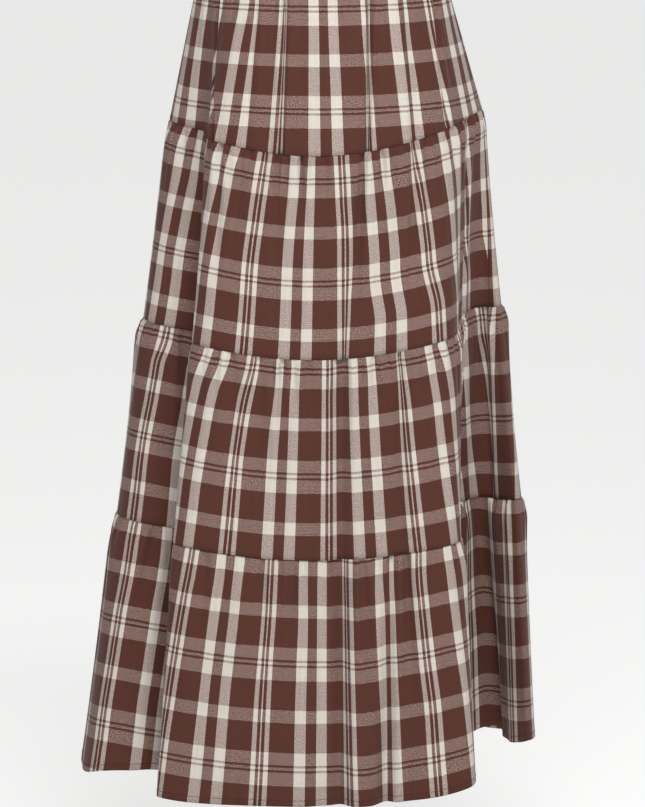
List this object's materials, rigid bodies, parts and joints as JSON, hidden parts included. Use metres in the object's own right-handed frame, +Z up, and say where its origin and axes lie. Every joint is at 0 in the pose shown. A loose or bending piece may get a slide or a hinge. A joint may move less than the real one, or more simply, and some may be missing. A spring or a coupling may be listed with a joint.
{
  "type": "maxi skirt",
  "caption": "Long tiered skirt of gathered checked cotton with an elastic waistband, open at waist and hem, hollow and hanging as worn.",
  "frame": {"origin": "middle of the waist opening, level with the waistband's top edge, where the wearer holds the skirt up", "axes": "+Z up along the skirt, -Y towards the viewer out of the front, +X to the viewer's right of the front"},
  "size_m": [0.5238, 0.4162, 0.9983],
  "materials": {
    "checked_cotton": "soft brushed cotton, woven check in brown and cream",
    "waistband_cotton": "the same checked cotton, rucked over elastic",
    "thread": "dark brown sewing thread"
  },
  "bodies": {
    "root": {"waistband": "waistband_cotton", "tier_1_front": "checked_cotton", "tier_1_back": "checked_cotton", "tier_2_front": "checked_cotton", "tier_2_back": "checked_cotton", "tier_3_front": "checked_cotton", "tier_3_back": "checked_cotton", "tier_4_front": "checked_cotton", "tier_4_back": "checked_cotton"}
  },
  "joints": []
}
